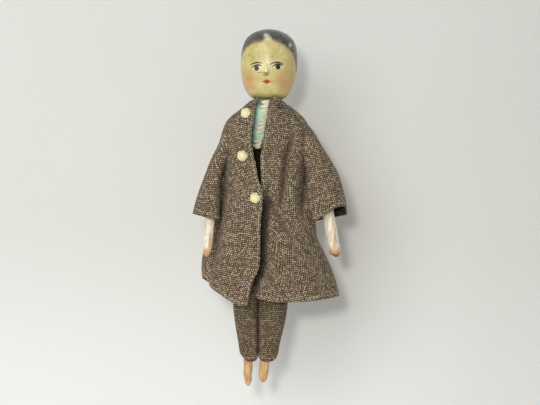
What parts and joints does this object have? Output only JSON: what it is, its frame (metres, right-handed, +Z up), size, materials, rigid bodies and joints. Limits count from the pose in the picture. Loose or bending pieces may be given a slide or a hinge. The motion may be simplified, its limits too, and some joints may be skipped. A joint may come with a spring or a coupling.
{
  "type": "jointed peg-wooden doll",
  "caption": "Small jointed wooden peg doll with a painted egg-shaped head, dressed in a brown tweed coat and trousers over a mint shirt front.",
  "frame": {"origin": "middle of the waist, where a doll stand or a hand holds it", "axes": "+Z up through the head, -Y out of the face, +X to the doll's left"},
  "size_m": [0.0659, 0.0268, 0.1525],
  "materials": {
    "painted_wood": "yellowed varnish over paint",
    "bare_wood": "bare, worn smooth",
    "worn_cream_paint": "thin cream paint, worn through",
    "tweed": "flecked plain weave",
    "mint_cloth": "matte cotton",
    "lace": "scalloped cotton lace",
    "button_cream": "smooth, slightly glossy",
    "dark_thread": "matte cotton"
  },
  "bodies": {
    "torso": {"head_and_torso": "painted_wood", "nose": "painted_wood", "shoulder_peg": "bare_wood", "hip_peg": "bare_wood", "shirt_front": "mint_cloth", "shirt_lace": "lace", "coat_back": "tweed", "coat_front_right": "tweed", "coat_front_left": "tweed", "coat_collar": "tweed", "collar_knot": "dark_thread", "button_top": "button_cream", "button_middle": "button_cream", "button_bottom": "button_cream", "button_thread_top": "dark_thread", "button_thread_middle": "dark_thread", "button_thread_bottom": "dark_thread"},
    "upper_arm_right": {"upper_arm_right": "bare_wood", "elbow_peg_right": "bare_wood", "sleeve_right": "tweed"},
    "forearm_right": {"forearm_right": "worn_cream_paint"},
    "thigh_right": {"thigh_right": "bare_wood", "knee_peg_right": "bare_wood", "trouser_leg_right": "tweed"},
    "lower_leg_right": {"lower_leg_right": "bare_wood"},
    "upper_arm_left": {"upper_arm_left": "bare_wood", "elbow_peg_left": "bare_wood", "sleeve_left": "tweed"},
    "forearm_left": {"forearm_left": "worn_cream_paint"},
    "thigh_left": {"thigh_left": "bare_wood", "knee_peg_left": "bare_wood", "trouser_leg_left": "tweed"},
    "lower_leg_left": {"lower_leg_left": "bare_wood"}
  },
  "joints": [
    {"name": "shoulder_right", "type": "hinge", "parent": "torso", "child": "upper_arm_right", "pos_m": [-0.0135, 0, 0.0232], "axis": [-1, 0, 0], "range_deg": [-30, 90]},
    {"name": "elbow_right", "type": "hinge", "parent": "upper_arm_right", "child": "forearm_right", "pos_m": [-0.0215, -0.0015, 0.0011], "axis": [-1, 0, 0], "range_deg": [0, 90], "deforming": ["sleeve_right"]},
    {"name": "hip_right", "type": "hinge", "parent": "torso", "child": "thigh_right", "pos_m": [-0.0044, 0, -0.02], "axis": [-1, 0, 0], "range_deg": [-15, 90], "deforming": ["coat_front_right", "coat_back"]},
    {"name": "knee_right", "type": "hinge", "parent": "thigh_right", "child": "lower_leg_right", "pos_m": [-0.0046, 0, -0.05], "axis": [1, 0, 0], "range_deg": [0, 90], "deforming": ["trouser_leg_right"]},
    {"name": "shoulder_left", "type": "hinge", "parent": "torso", "child": "upper_arm_left", "pos_m": [0.0135, 0, 0.0232], "axis": [-1, 0, 0], "range_deg": [-30, 90]},
    {"name": "elbow_left", "type": "hinge", "parent": "upper_arm_left", "child": "forearm_left", "pos_m": [0.0251, -0.001, 0.0028], "axis": [-1, 0, 0], "range_deg": [0, 90], "deforming": ["sleeve_left"]},
    {"name": "hip_left", "type": "hinge", "parent": "torso", "child": "thigh_left", "pos_m": [0.0044, 0, -0.02], "axis": [-1, 0, 0], "range_deg": [-15, 90], "deforming": ["coat_front_left"]},
    {"name": "knee_left", "type": "hinge", "parent": "thigh_left", "child": "lower_leg_left", "pos_m": [0.0046, 0, -0.05], "axis": [1, 0, 0], "range_deg": [0, 90], "deforming": ["trouser_leg_left"]}
  ]
}
